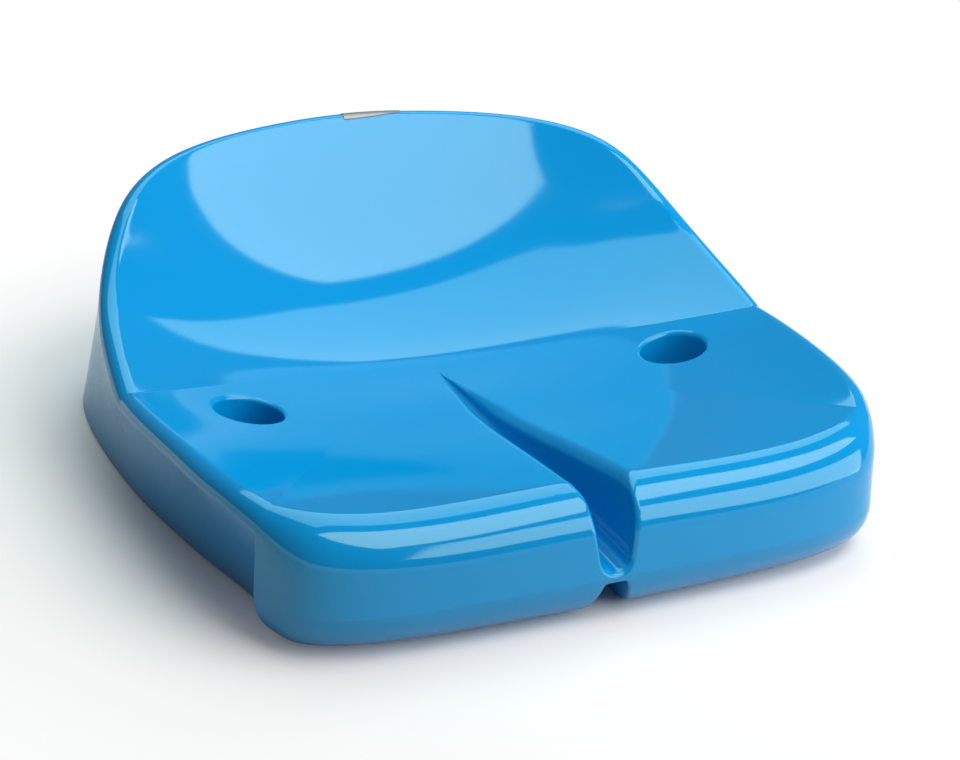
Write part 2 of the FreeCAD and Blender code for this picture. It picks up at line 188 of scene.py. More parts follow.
def rounded(a, corner, b, reach):
    """Points of a small round that replaces the corner between a and b."""
    to_a = (a - corner) / np.linalg.norm(a - corner, axis=1, keepdims=True)
    to_b = (b - corner) / np.linalg.norm(b - corner, axis=1, keepdims=True)
    start, end = corner + to_a * reach, corner + to_b * reach
    out = []
    for s in (0.0, 0.25, 0.5, 0.75, 1.0):
        out.append(start * (1 - s) ** 2 + 2 * corner * s * (1 - s) + end * s * s)
    return out


def rim_sections(columns, t):
    """Arrays of points for the sections at t: roll, upper wall, lower wall."""
    v = [column(t) for column in columns]
    n = np.stack([v[-2], v[-1], 0 * t], 1)
    n /= np.linalg.norm(n, axis=1, keepdims=True)
    up = np.array([0, 0, 1.0])
    first, last = np.radians(v[4]), np.radians(v[5])
    r = v[3]
    centre = np.stack([v[0], v[1], v[2] - r], 1) - n * (r * np.cos(last))[:, None]
    roll = []
    for g in np.linspace(0, 1, ROLL_STEPS + 1):
        a = first + (last - first) * g
        roll.append(centre + n * (r * np.cos(a))[:, None] + up * (r * np.sin(a))[:, None])
    foot = np.stack([v[6], v[7], 0 * t], 1)
    top = roll[-1]
    block = len(columns) > 10
    if block:
        knee = np.stack([v[8], v[9], 0 * t + PART_Z], 1)
    else:
        knee = top + (foot - top) * ((top[:, 2] - PART_Z) / top[:, 2])[:, None]
    wall = [top + (knee - top) * g for g in np.linspace(0, 1, WALL_STEPS + 1)]
    tuck = []
    for g in np.linspace(0, 1, TUCK_STEPS + 1):
        a = g * math.pi / 2
        if block:
            wide, deep = 1 - math.cos(a), math.sin(a)
        else:
            wide, deep = g, g
        tuck.append(knee + (foot - knee) * np.array([wide, wide, deep]))
    return roll, wall, tuck


# %% [markdown]
# The seat face is a plain dish: a middle line, and a bend across it. What the dish still
# lacks in height at the rim is made up towards the rim, so the fold between seat and back
# is sharp at the rim and fades to nothing in the middle, as on the real moulding.

# %% The seat face
half_edge = []
for name, a, b, steps in (("front", 0.5, 1.0, 200), ("side", 0.0, 1.0, 160), ("back", 0.0, 0.5, 260)):
    places = np.linspace(a, b, steps, endpoint=name == "back")
    half_edge.append(rim_sections(RUNS[name], places)[0][0])
half_edge = np.vstack(half_edge)
FACE_FRONT, FACE_BACK = half_edge[0, 1], half_edge[-1, 1]
middle = cubic(
    [FACE_FRONT] + [p[0] for p in MID_LINE] + [FACE_BACK],
    [half_edge[0, 2]] + [p[1] for p in MID_LINE] + [half_edge[-1, 2]],
)
bend = cubic(DISH_BEND[:, 0], DISH_BEND[:, 1])


def dished(x, y):
    """Height of the plain dish, without the pull of the rim."""
    return middle(y) + bend(y) * x * x


edge_angle = np.arctan2(half_edge[:, 1] - POLE_Y, half_edge[:, 0])
edge_reach = np.hypot(half_edge[:, 0], half_edge[:, 1] - POLE_Y)
edge_lack = half_edge[:, 2] - dished(half_edge[:, 0], half_edge[:, 1])


def face_height(x, y):
    """Height of the seat face at any place inside the rim."""
    y = np.clip(y, FACE_FRONT, FACE_BACK)
    angle = np.arctan2(y - POLE_Y, np.abs(x))
    way = np.minimum(np.hypot(x, y - POLE_Y) / np.interp(angle, edge_angle, edge_reach), 1)
    return dished(x, y) + way ** EDGE_POWER * np.interp(angle, edge_angle, edge_lack)


print("low middle of the seat is", round(float(middle(np.linspace(0, 90, 91)).min()), 1), "mm up")

# %% [markdown]
# The skin is one grid of points: around the rim in one direction, and from the middle of
# the dish over the rim to the ground in the other. It closes under the seat with a flat
# base. Grids like this keep reflections calm, because neighbouring faces turn evenly.

# %% The closed skin
RING_STEPS = {"front": 132, "side": 54, "back": 176, "other": 54}
FACE_STEPS = 64
BASE_RINGS = (0.97, 0.5)


def even_with_ends(count):
    """Places from 0 to 1, with one extra close to each end, to keep folds crisp."""
    t = np.linspace(0, 1, count + 1)
    near = 0.25 / count
    return np.concatenate([[0, near], t[1:-1], [1 - near, 1]])


def skin_grid():
    """Grid of points, sections by rows, over all four runs of the rim."""
    blocks = []
    for name, rows in RUNS.items():
        roll, wall, tuck = rim_sections(rows, even_with_ends(RING_STEPS[name]))
        edge = roll[0]
        lack = edge[:, 2] - dished(edge[:, 0], edge[:, 1])
        face = []
        for w in np.linspace(0, 1, FACE_STEPS + 1)[1:]:
            x, y = edge[:, 0] * w, POLE_Y + (edge[:, 1] - POLE_Y) * w
            face.append(np.stack([x, y, dished(x, y) + w ** EDGE_POWER * lack], 1))
        inner = rounded(face[-2], edge, roll[1], CREASE_R)
        under = rounded(roll[-2], roll[-1], wall[1], LOW_CREASE_R)
        knee = rounded(wall[-2], wall[-1], tuck[1], LOW_CREASE_R)
        inward = tuck[-1] * (0.98, 0.98, 1.0)
        base = rounded(tuck[-2], tuck[-1], inward, BASE_CREASE_R)
        lines = face[:-1] + inner + roll[1:-1] + under + wall[1:-1] + knee + tuck[1:-1] + base
        for share in BASE_RINGS:
            lines.append(tuck[-1] * (share, share, 0.0))
        blocks.append(np.stack(lines, 1))
    return np.concatenate(blocks, 0)


def grid_mesh(name, grid, pole, foot):
    """A closed mesh from a ring of sections, with a point at each end."""
    n, m = grid.shape[:2]
    points = [pole] + list(grid.reshape(-1, 3)) + [foot]
    faces = []
    for i in range(n):
        j = (i + 1) % n
        faces.append((0, 1 + j * m, 1 + i * m))
        for k in range(m - 1):
            faces.append((1 + i * m + k, 1 + j * m + k, 1 + j * m + k + 1, 1 + i * m + k + 1))
        faces.append((1 + i * m + m - 1, 1 + j * m + m - 1, 1 + n * m))
    return closed_mesh(name, points, faces)


def closed_mesh(name, points, faces, sharp=32.0):
    """A mesh in metres, doubles merged, normals outward, edges past the sharp angle crisp."""
    mesh = bpy.data.meshes.new(name)
    mesh.from_pydata([tuple(float(c) * MM for c in p) for p in points], [], faces)
    b = bmesh.new()
    b.from_mesh(mesh)
    bmesh.ops.remove_doubles(b, verts=b.verts, dist=2e-6)
    bmesh.ops.dissolve_degenerate(b, edges=b.edges, dist=1e-6)
    bmesh.ops.triangulate(b, faces=[f for f in b.faces if len(f.verts) > 4])
    bmesh.ops.recalc_face_normals(b, faces=b.faces)
    if b.calc_volume(signed=True) < 0:
        bmesh.ops.reverse_faces(b, faces=b.faces)
    open_edges = sum(1 for e in b.edges if not e.is_manifold)
    b.to_mesh(mesh)
    b.free()
    mesh.shade_smooth()
    mesh.set_sharp_from_angle(angle=math.radians(sharp))
    print(name, len(mesh.polygons), "faces,", open_edges, "open edges")
    return mesh


pole = np.array([0, POLE_Y, float(dished(0.0, POLE_Y))])
skin_mesh = grid_mesh("skin", skin_grid(), pole, np.array([0, 0, 0.0]))

# %% [markdown]
# The drain groove, the channel under it, the two bolt cups and the blow hole are cut out
# of the skin. Each cutter carries the rounding of its own mouth, so the edge comes out
# soft, as polyethylene does when it is blown against a mould. The groove lets rain run off
# the seat: it starts as a fine tip, falls towards the front and opens through the rim.

# %% The drain groove as a cutter
TIP_Y = 48.0
TIP_Z = 33.2
MOUTH_Z = 28.4
MOUTH_Y = -194.0
FALL_END_Y = -204.0
TIP_RUNOUT, TIP_FADE, TIP_LIFT = 4.0, 26.0, 0.35
GROOVE_DRAFT = math.radians(9.0)
BANK_R, BANK_SHARE, LEAST_BANK = 8.0, 0.95, 0.12
BANK_LEFT = math.radians(7.0)
FLOOR_R_SHARE, LEAST_DEPTH = 0.75, 0.2
PAST_BANK, ABOVE_SEAT = 14.0, 120.0
LIP_R = 2.6
FLOOR_R = [(-204, 9.2), (-174, 8.7), (-126, 7.4), (-85, 6.4), (-43, 5.0), (0, 3.4), (30, 2.0), (48, 0.9)]
groove_round = cubic(*zip(*FLOOR_R))


def groove_level(y):
    """Height of the groove floor, which falls evenly from the tip to the front."""
    return TIP_Z + (MOUTH_Z - TIP_Z) * (TIP_Y - y) / (TIP_Y - FALL_END_Y)


def groove_depth(y):
    """Depth of the groove below the seat face; it runs out above the face behind the tip."""
    deep = middle(np.clip(y, FACE_FRONT, FACE_BACK)) - groove_level(y)
    fade = np.clip((TIP_Y + TIP_RUNOUT - y) / TIP_FADE, 0, 1)
    return deep * fade - TIP_LIFT * (1 - fade)


def groove_outline(y):
    """Points across the groove at y, and the direction into the plastic at each."""
    face = float(middle(min(max(y, FACE_FRONT), FACE_BACK)))
    deep = float(groove_depth(y))
    floor = face - deep
    low_r = min(float(groove_round(y)), max(deep, LEAST_DEPTH) * FLOOR_R_SHARE)
    bank = min(BANK_R, max(BANK_SHARE * (deep / (1 - math.sin(GROOVE_DRAFT)) - low_r), LEAST_BANK))
    c, s = math.cos(GROOVE_DRAFT), math.sin(GROOVE_DRAFT)
    run = max((face - bank * (1 - s) - floor - low_r + low_r * s) / c, 0.0)
    heel_x = low_r * c + run * s + bank * c
    heel_z = floor + low_r - low_r * s + run * c - bank * s
    points, into = [], []
    for g in np.linspace(0, 1, 9):
        a = -math.pi / 2 + (math.pi / 2 - GROOVE_DRAFT) * g
        points.append((low_r * math.cos(a), floor + low_r + low_r * math.sin(a)))
        into.append((math.cos(a), math.sin(a)))
    for g in np.linspace(0, 1, 9)[1:-1]:
        points.append((low_r * c + run * s * g, floor + low_r - low_r * s + run * c * g))
        into.append((c, -s))
    for g in np.linspace(0, 1, 11):
        a = math.pi - GROOVE_DRAFT - (math.pi / 2 - GROOVE_DRAFT - BANK_LEFT) * g
        points.append((heel_x + bank * math.cos(a), heel_z + bank * math.sin(a)))
        into.append((-math.cos(a), -math.sin(a)))
    x, z = points[-1]
    points.append((x + PAST_BANK * math.cos(BANK_LEFT), z + PAST_BANK * math.sin(BANK_LEFT)))
    points.append((points[-1][0], ABOVE_SEAT))
    into += [into[-1]] * 2
    right = np.array(points)
    turn = np.array(into)
    left = right[:0:-1] * (-1, 1)
    left_turn = turn[:0:-1] * (-1, 1)
    return np.vstack([left, right]), np.vstack([left_turn, turn])


front_section = rim_sections(RUNS["front"], np.array([0.5]))
front_line = np.array([p[0] for part in front_section for p in part])
front_order = np.argsort(front_line[:, 2])


def front_face_y(z):
    """Where the front of the seat is at this height, in the middle."""
    return np.interp(z, front_line[front_order, 2], front_line[front_order, 1])


LIP_ANGLES = np.radians([20, 40, 60, 80])
LIP_FLARE = 1.5
PAST_FRONT = 30.0
CROWDING = 0.9


def mouth_rows(outline_at, face_y, start_y, lip, count):
    """Rows of a groove from start_y to its mouth, following the front and rounding its lip."""
    rows = []
    reference = outline_at(MOUTH_Y + 10)[0]
    end = face_y(reference[:, 1]) + lip
    for q in np.linspace(0, 1, count) ** CROWDING:
        ys = start_y + (end - start_y) * q
        rows.append([(*outline_at(float(y))[0][k], y) for k, y in enumerate(ys)])
    steps = [(lip * (1 - math.sin(a)), lip * (1 - math.cos(a))) for a in LIP_ANGLES]
    back, wide = steps[-1]
    last = LIP_ANGLES[-1]
    steps.append((back - LIP_FLARE * math.cos(last), wide + LIP_FLARE * math.sin(last)))
    for back, wide in steps:
        row = []
        for k in range(len(reference)):
            y = end[k] - lip + back
            points, turn = outline_at(float(y))
            x, z = points[k] + turn[k] * wide
            row.append((x, z, float(face_y(z)) + back))
        rows.append(row)
    rows.append([(x, z, y - PAST_FRONT) for x, z, y in rows[-1]])
    return [[(x, y, z) for x, z, y in row] for row in rows]


def tube_mesh(name, rows):
    """A closed mesh from rows of points that each go once round, with flat ends."""
    n = len(rows[0])
    points = [p for row in rows for p in row]
    faces = []
    for i in range(len(rows) - 1):
        for k in range(n):
            j = (k + 1) % n
            faces.append((i * n + k, i * n + j, (i + 1) * n + j, (i + 1) * n + k))
    faces.append(tuple(range(n)))
    faces.append(tuple((len(rows) - 1) * n + k for k in reversed(range(n))))
    return closed_mesh(name, points, faces, 40.0)


groove_mesh = tube_mesh("groove", mouth_rows(groove_outline, front_face_y, TIP_Y + 3.0, LIP_R, 70))

# %% [markdown]
# Under the groove an arched channel runs back from the front edge, so that the plastic
# stays about as thick there as elsewhere, and water leaves below. It is cut in the same
# way: an outline across it, repeated along its length and flared at its mouth.

# %% The channel in the underside as a cutter
CHANNEL_HALF = 14.0
CHANNEL_ROOF_HALF = 6.5
CHANNEL_SKIN = 5.0
CHANNEL_END_Y = 60.0
CHANNEL_RAMP = 24.0
ROOF_R = 2.5
CHANNEL_LIP = 1.2
BELOW_BASE = 1.0


def channel_outline(y):
    """Points across the arched channel at y, and the direction into the plastic at each."""
    ramp = max((CHANNEL_END_Y - y) / CHANNEL_RAMP, 0.02)
    roof = (groove_level(y) - CHANNEL_SKIN) * min(ramp, 1.0)
    slope = (CHANNEL_HALF - CHANNEL_ROOF_HALF) / (MOUTH_Z - CHANNEL_SKIN)
    lean = math.atan(slope)
    corner_x = CHANNEL_HALF - slope * roof
    r = min(ROOF_R, roof * 0.4)
    reach = r * math.tan((math.pi / 2 - lean) / 2)
    centre = np.array([corner_x - reach, roof - r])
    points, into = [(0.0, roof)], [(0.0, 1.0)]
    for g in np.linspace(0, 1, 6):
        a = math.pi / 2 + (lean - math.pi / 2) * g
        points.append((centre[0] + r * math.cos(a), centre[1] + r * math.sin(a)))
        into.append((math.cos(a), math.sin(a)))
    x, z = points[-1]
    for g in np.linspace(0, 1, 7)[1:]:
        points.append((x + (CHANNEL_HALF + slope * BELOW_BASE - x) * g, z + (-BELOW_BASE - z) * g))
        into.append((math.cos(lean), math.sin(lean)))
    right, turn = np.array(points), np.array(into)
    return np.vstack([right[:0:-1] * (-1, 1), right]), np.vstack([turn[:0:-1] * (-1, 1), turn])


def low_front_y(z):
    """The tucked front face below the parting edge; level with the base edge under it."""
    return front_face_y(np.maximum(z, 0.0))


channel_rows = mouth_rows(channel_outline, low_front_y, CHANNEL_END_Y, CHANNEL_LIP, 24)
channel_mesh = tube_mesh("channel", channel_rows)

# %% [markdown]
# The seat is held by two bolts, each in a round cup with a washer on its floor. A cup's
# mouth isn't flat: it follows the dish, and rolls over into it with a soft lip. So its
# rings are measured from the floor low down, and from the seat face higher up.

# %% A bolt cup as a cutter
CUP_X = 139.0
CUP_R = 19.9
CUP_FLOOR = 8.0
CUP_LIP = 2.8
CUP_FOOT_R = 2.5
CUP_SIDES = 72
CUP_FLARE = 2.0
CUP_LIP_ANGLES = np.radians([0, 13, 26, 39, 52, 65, 78])
ABOVE_FACE = 30.0


def cup_rows(side):
    """Rings of a cup from its floor up through its soft mouth, which follows the seat face."""
    rings = [(CUP_R - CUP_FOOT_R + CUP_FOOT_R * math.sin(a), ("floor", CUP_FOOT_R * (1 - math.cos(a))))
             for a in np.radians([0, 30, 60, 90])]
    for a in CUP_LIP_ANGLES:
        rings.append((CUP_R + CUP_LIP * (1 - math.cos(a)), ("face", -CUP_LIP * (1 - math.sin(a)))))
    wide, lift = rings[-1][0], rings[-1][1][1]
    rings.append((wide + CUP_FLARE, ("face", lift + CUP_FLARE / math.tan(CUP_LIP_ANGLES[-1]))))
    rings.append((wide + CUP_FLARE, ("face", ABOVE_FACE)))
    rows = []
    for r, (base, lift) in rings:
        row = []
        for k in range(CUP_SIDES):
            a = 2 * math.pi * k / CUP_SIDES
            x, y = side * CUP_X + r * math.cos(a), r * math.sin(a)
            z = CUP_FLOOR + lift if base == "floor" else float(face_height(x, y)) + lift
            row.append((x, y, z))
        rows.append(row)
    return rows


cup_meshes = [tube_mesh("cup", cup_rows(side)) for side in (-1, 1)]

# %% [markdown]
# The cutting itself is a Geometry Nodes tree on the skin. The two bolt bores repeat at the
# fixing spacing, so the tree makes them from one cylinder set on two points; the spacing
# and the bore size are its named inputs.

# %% Helper for node trees
def link_in(tree, socket, value):
    """Sets a socket to a value, or links another socket to it."""
    if isinstance(value, bpy.types.NodeSocket):
        tree.links.new(value, socket)
    else:
        socket.default_value = value


def add_node(tree, kind, settings=None, **values):
    """A node with its settings made first, then its sockets set or linked by name."""
    node = tree.nodes.new(kind)
    for key, value in (settings or {}).items():
        setattr(node, key, value)
    for key, value in values.items():
        name = key.replace("_", " ")
        socket = next(s for s in node.inputs if s.name == name and s.enabled)
        link_in(tree, socket, value)
    return node


# %% The tree that cuts the shell
CUTTERS = ("Groove", "Channel", "Left cup", "Right cup")
INPUTS = [(name, "Object") for name in CUTTERS] + [
    ("Bolt spacing", "Float"), ("Bore radius", "Float"), ("Bore depth", "Float"),
    ("Blow hole place", "Vector"), ("Blow hole radius", "Float"), ("Finish", "Material"),
]
BORE_SIDES, BLOW_HOLE_SIDES = 48, 32
BLOW_HOLE_DEPTH = 30.0 * MM


def cutting_tree():
    """A node tree that cuts the hollows out of the skin and gives it its finish."""
    tree = bpy.data.node_groups.new("Cut the seat shell", "GeometryNodeTree")
    tree.interface.new_socket("Geometry", in_out="INPUT", socket_type="NodeSocketGeometry")
    tree.interface.new_socket("Geometry", in_out="OUTPUT", socket_type="NodeSocketGeometry")
    for name, kind in INPUTS:
        tree.interface.new_socket(name, in_out="INPUT", socket_type="NodeSocket" + kind)
    start = tree.nodes.new("NodeGroupInput").outputs
    end = tree.nodes.new("NodeGroupOutput")
    cutters = []
    for name in CUTTERS:
        cutters.append(add_node(tree, "GeometryNodeObjectInfo", Object=start[name]).outputs["Geometry"])
    gap = add_node(tree, "ShaderNodeCombineXYZ", X=start["Bolt spacing"]).outputs[0]
    first = add_node(tree, "ShaderNodeVectorMath", {"operation": "SCALE"}, Vector=gap, Scale=-0.5)
    row = add_node(tree, "GeometryNodeMeshLine", Count=2, Start_Location=first.outputs[0], Offset=gap)
    bore = add_node(tree, "GeometryNodeMeshCylinder", Vertices=BORE_SIDES,
                    Radius=start["Bore radius"], Depth=start["Bore depth"])
    bores = add_node(tree, "GeometryNodeInstanceOnPoints", Points=row.outputs[0],
                     Instance=bore.outputs["Mesh"])
    hole = add_node(tree, "GeometryNodeMeshCylinder", Vertices=BLOW_HOLE_SIDES,
                    Radius=start["Blow hole radius"], Depth=BLOW_HOLE_DEPTH)
    placed = add_node(tree, "GeometryNodeTransform", Geometry=hole.outputs["Mesh"],
                      Translation=start["Blow hole place"])
    for more in (bores.outputs[0], placed.outputs[0]):
        cutters.append(add_node(tree, "GeometryNodeRealizeInstances", Geometry=more).outputs[0])
    body = start["Geometry"]
    for cutter in cutters:
        cut = tree.nodes.new("GeometryNodeMeshBoolean")
        cut.operation = "DIFFERENCE"
        cut.solver = "EXACT"
        tree.links.new(body, cut.inputs[0])
        tree.links.new(cutter, cut.inputs[1])
        body = cut.outputs[0]
    real = add_node(tree, "GeometryNodeRealizeInstances", Geometry=body)
    dressed = add_node(tree, "GeometryNodeSetMaterial", Geometry=real.outputs[0], Material=start["Finish"])
    tree.links.new(dressed.outputs[0], end.inputs[0])
    return tree


# %% Run the tree and keep a plain mesh
def new_object(name, mesh):
    """An object in the scene that shows the mesh."""
    thing = bpy.data.objects.new(name, mesh)
    bpy.context.scene.collection.objects.link(thing)
    return thing


def run_tree(thing, tree, values):
    """Sets the tree's inputs by their identifiers, evaluates it, and gives back a plain mesh."""
    modifier = thing.modifiers.new(tree.name, "NODES")
    modifier.node_group = tree
    for item in tree.interface.items_tree:
        if item.item_type == "SOCKET" and item.in_out == "INPUT" and item.name in values:
            modifier[item.identifier] = values[item.name]
    bpy.context.view_layer.update()
    mesh = bpy.data.meshes.new_from_object(thing.evaluated_get(bpy.context.evaluated_depsgraph_get()))
    thing.modifiers.remove(modifier)
    return mesh


shell_blue = bpy.data.materials.new("Blue polyethylene")
shell = new_object("seat_shell_skin", skin_mesh)
tools = {
    "Groove": new_object("groove cutter", groove_mesh),
    "Channel": new_object("channel cutter", channel_mesh),
    "Left cup": new_object("left cup cutter", cup_meshes[1]),
    "Right cup": new_object("right cup cutter", cup_meshes[0]),
}
BORE_R = 8.0
BLOW_HOLE_R = 4.0
BLOW_HOLE_PLACE = (60.0, 120.0, -3.0)
shell_mesh = run_tree(shell, cutting_tree(), {
    **tools,
    "Bolt spacing": 2 * CUP_X * MM, "Bore radius": BORE_R * MM,
    "Bore depth": 2 * (CUP_FLOOR + 1.0) * MM,
    "Blow hole place": [c * MM for c in BLOW_HOLE_PLACE], "Blow hole radius": BLOW_HOLE_R * MM,
    "Finish": shell_blue,
})
print("cut shell:", len(shell_mesh.polygons), "faces")

# %% [markdown]
# A cut leaves long thin faces along its edge, and gloss would show them as smudges. So
# each corner of the cut mesh takes its normal from the smooth surface that it came from:
# the skin or one of the cutters, turned inside out.

# %% True normals for the cut shell
SEARCH_FAR = 0.1 * MM
SAME_SURFACE = 0.05 * MM


def source_of(mesh, turned):
    """Search tree over the triangles of a mesh, with the normals at their corners."""
    mesh.calc_loop_triangles()
    corners = np.empty(len(mesh.loops) * 3, np.float32)
    mesh.corner_normals.foreach_get("vector", corners)
    corners = corners.reshape(-1, 3) * (-1 if turned else 1)
    points = [v.co.copy() for v in mesh.vertices]
    tris = [tuple(t.vertices) for t in mesh.loop_triangles]
    loops = [tuple(t.loops) for t in mesh.loop_triangles]
    return BVHTree.FromPolygons(points, tris), points, tris, loops, corners


def shares(p, a, b, c):
    """Barycentric shares of p in the triangle."""
    ab, ac, ap = b - a, c - a, p - a
    d00, d01, d11 = ab.dot(ab), ab.dot(ac), ac.dot(ac)
    d20, d21 = ap.dot(ab), ap.dot(ac)
    wide = d00 * d11 - d01 * d01
    if abs(wide) < 1e-24:
        return 1.0, 0.0, 0.0
    v = (d11 * d20 - d01 * d21) / wide
    w = (d00 * d21 - d01 * d20) / wide
    return 1 - v - w, v, w


def true_normals(mesh, sources):
    """Custom corner normals, each from the nearest source surface."""
    normals = np.empty(len(mesh.loops) * 3, np.float32)
    mesh.corner_normals.foreach_get("vector", normals)
    normals = normals.reshape(-1, 3)
    taken = 0
    for polygon in mesh.polygons:
        best = None
        for tree, *surface in sources:
            index, far = tree.find_nearest(polygon.center, SEARCH_FAR)[2:]
            if index is not None and (best is None or far < best[0]):
                best = far, index, surface
        if best is None or best[0] > SAME_SURFACE:
            continue
        index, (points, tris, loops, corners) = best[1:]
        a, b, c = (points[i] for i in tris[index])
        n = [corners[i] for i in loops[index]]
        for k in polygon.loop_indices:
            share = shares(mesh.vertices[mesh.loops[k].vertex_index].co, a, b, c)
            if min(share) < -0.5:
                continue
            mixed = n[0] * share[0] + n[1] * share[1] + n[2] * share[2]
            size = float(np.linalg.norm(mixed))
            if size > 0.5 and float(np.dot(mixed / size, polygon.normal)) > 0.3:
                normals[k] = mixed / size
                taken += 1
    mesh.normals_split_custom_set(normals.tolist())
    print("corners with true normals:", taken, "of", len(mesh.loops))


sources = [source_of(skin_mesh, False)]
sources += [source_of(m, True) for m in (groove_mesh, channel_mesh, *cup_meshes)]
shell_mesh.shade_smooth()
shell_mesh.set_sharp_from_angle(angle=math.radians(32.0))
true_normals(shell_mesh, sources)
shell.data = shell_mesh
shell.data.name = "seat_shell_skin"
for tool in tools.values():
    bpy.data.objects.remove(tool)
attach(shell, "root")
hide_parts("seat_shell")


# %% [markdown]
# Materials are node trees, and their maths reads best as plain expressions. One small class
# wraps a socket, so that a sum or a product in Python adds the Math node for it.

# %% Shader expressions
class Expr:
    """A node socket that can be added and multiplied like a number."""

    def __init__(self, tree, socket):
        self.tree, self.socket = tree, socket

    def math(self, operation, *values):
        """A Math node on these values, in order."""
        node = self.tree.nodes.new("ShaderNodeMath")
        node.operation = operation
        for socket, value in zip(node.inputs, values):
            link_in(self.tree, socket, value.socket if isinstance(value, Expr) else value)
        return Expr(self.tree, node.outputs[0])

    def __add__(self, other):
        return self.math("ADD", self, other)

    def __mul__(self, other):
        return self.math("MULTIPLY", self, other)

    def larger(self, other):
        """The larger of this and another value."""
        return self.math("MAXIMUM", self, other)

    def within(self, low, high):
        """A smooth rise from 0 at low to 1 at high."""
        node = add_node(self.tree, "ShaderNodeMapRange", {"interpolation_type": "SMOOTHSTEP"},
                        Value=self.socket, From_Min=low, From_Max=high)
        return Expr(self.tree, node.outputs[0])

    __radd__, __rmul__ = __add__, __mul__


def named_output(tree, kind, name, **values):
    """One output of a new node, ready for sums and products."""
    return Expr(tree, add_node(tree, kind, **values).outputs[name])


# %% Helpers for materials
def plain_material(material, colour, roughness, metallic=0.0, **more):
    """Principled shader with constants on its own sockets."""
    material.use_nodes = True
    tree = material.node_tree
    shader = tree.nodes["Principled BSDF"]
    shader.inputs["Base Color"].default_value = (*colour, 1)
    shader.inputs["Roughness"].default_value = roughness
    shader.inputs["Metallic"].default_value = metallic
    for name, value in more.items():
        shader.inputs[name.replace("_", " ")].default_value = value
    return tree, shader


def two_tones(tree, factor, first, second):
    """The colour output of a Mix node between two colours."""
    mix = add_node(tree, "ShaderNodeMix", {"data_type": "RGBA"}, Factor=factor.socket)
    mix.inputs[6].default_value = (*first, 1)
    mix.inputs[7].default_value = (*second, 1)
    return mix.outputs[2]


def relief(tree, shader, height, strength, depth):
    """A Bump node that raises the surface where height is large."""
    bump = add_node(tree, "ShaderNodeBump", Strength=strength, Distance=depth, Height=height.socket)
    link_in(tree, shader.inputs["Normal"], bump.outputs[0])


# %% [markdown]
# The shell is polyethylene with its colour in the plastic, blown against a polished mould.
# So the colour is the same all through, and the life comes from the gloss: a hard shine,
# broken by the slow ripple that blow moulding leaves, and by a very fine grain. The shine
# of such a pigmented plastic leans a little towards its own colour.

# %% Blue polyethylene
RIPPLE_SCALE, RIPPLE_SHARE = 14.0, 1.0
GRAIN_SCALE, GRAIN_SHARE = 900.0, 0.004
tree, shader = plain_material(
    shell_blue, (0.0, 0.265, 0.62), 0.08,
    IOR=1.5, Specular_IOR_Level=0.7, Specular_Tint=(0.6, 0.9, 0.7, 1.0),
)
place = add_node(tree, "ShaderNodeTexCoord").outputs["Object"]
ripple = named_output(tree, "ShaderNodeTexNoise", "Fac", Vector=place, Scale=RIPPLE_SCALE, Detail=1.0)
grain = named_output(tree, "ShaderNodeTexNoise", "Fac", Vector=place, Scale=GRAIN_SCALE, Detail=2.0)
relief(tree, shader, ripple * RIPPLE_SHARE + grain * GRAIN_SHARE, 0.2, 0.6 * MM)
print(shell_blue.name, "has", len(tree.nodes), "nodes")

# %% [markdown]
# The sleeves and washers are zinc plated steel. Zinc settles in small grains that shine a
# little differently, so cells vary both the tone and the roughness. The plate is a silver
# foil sticker: its brushed lines run along it, and handling has dulled it in patches.

# %% Zinc and silver foil
def patchy_metal(name, dark, pale, rough_low, rough_high, metallic, pattern, relief_depth):
    """A metal whose tone and roughness follow one pattern, with a little relief from it."""
    material = bpy.data.materials.new(name)
    tree, shader = plain_material(material, pale, rough_low, metallic)
    amount = pattern(tree, add_node(tree, "ShaderNodeTexCoord").outputs["Object"])
    link_in(tree, shader.inputs["Base Color"], two_tones(tree, amount, dark, pale))
    link_in(tree, shader.inputs["Roughness"], (amount * (rough_high - rough_low) + rough_low).socket)
    relief(tree, shader, amount, 0.3, relief_depth)
    print(name, "has", len(tree.nodes), "nodes")
    return material


def spangle(tree, place):
    """The grains of zinc plating, about 2 mm across, with a fine tooth over them."""
    grains = named_output(tree, "ShaderNodeTexVoronoi", "Distance", Vector=place, Scale=500.0)
    tooth = named_output(tree, "ShaderNodeTexNoise", "Fac", Vector=place, Scale=2500.0, Detail=2.0)
    return grains * 0.7 + tooth * 0.3


def brushed(tree, place):
    """Fine lines along the plate, and soft dull patches where it was handled."""
    along = add_node(tree, "ShaderNodeMapping", Vector=place, Scale=(40.0, 2500.0, 2500.0)).outputs[0]
    lines = named_output(tree, "ShaderNodeTexNoise", "Fac", Vector=along, Scale=1.0, Detail=2.0)
    dull = named_output(tree, "ShaderNodeTexNoise", "Fac", Vector=place, Scale=150.0, Detail=3.0)
    return lines * 0.6 + dull * 0.4


zinc = patchy_metal("Zinc plated steel", (0.42, 0.43, 0.45), (0.66, 0.67, 0.69), 0.25, 0.45, 1.0,
                    spangle, 0.02 * MM)
foil = patchy_metal("Silver foil", (0.16, 0.17, 0.185), (0.34, 0.35, 0.37), 0.35, 0.55, 0.6,
                    brushed, 0.01 * MM)
for name, material in (("number_plate", foil), ("left_bolt_sleeve", zinc), ("right_bolt_sleeve", zinc),
                       ("left_load_washer", zinc), ("right_load_washer", zinc)):
    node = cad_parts[name]
    node.data.materials.clear()
    node.data.materials.append(material)

# %% [markdown]
# The studio is a white paper sweep: a round floor that curves up into a low wall all round.
# It could simply be a bright plane, but then the seat would stand on nothing. So the paper
# stays a real surface close to the seat, where its shadow lies, and turns to plain white
# farther out, for the camera and for anything shiny that mirrors it.

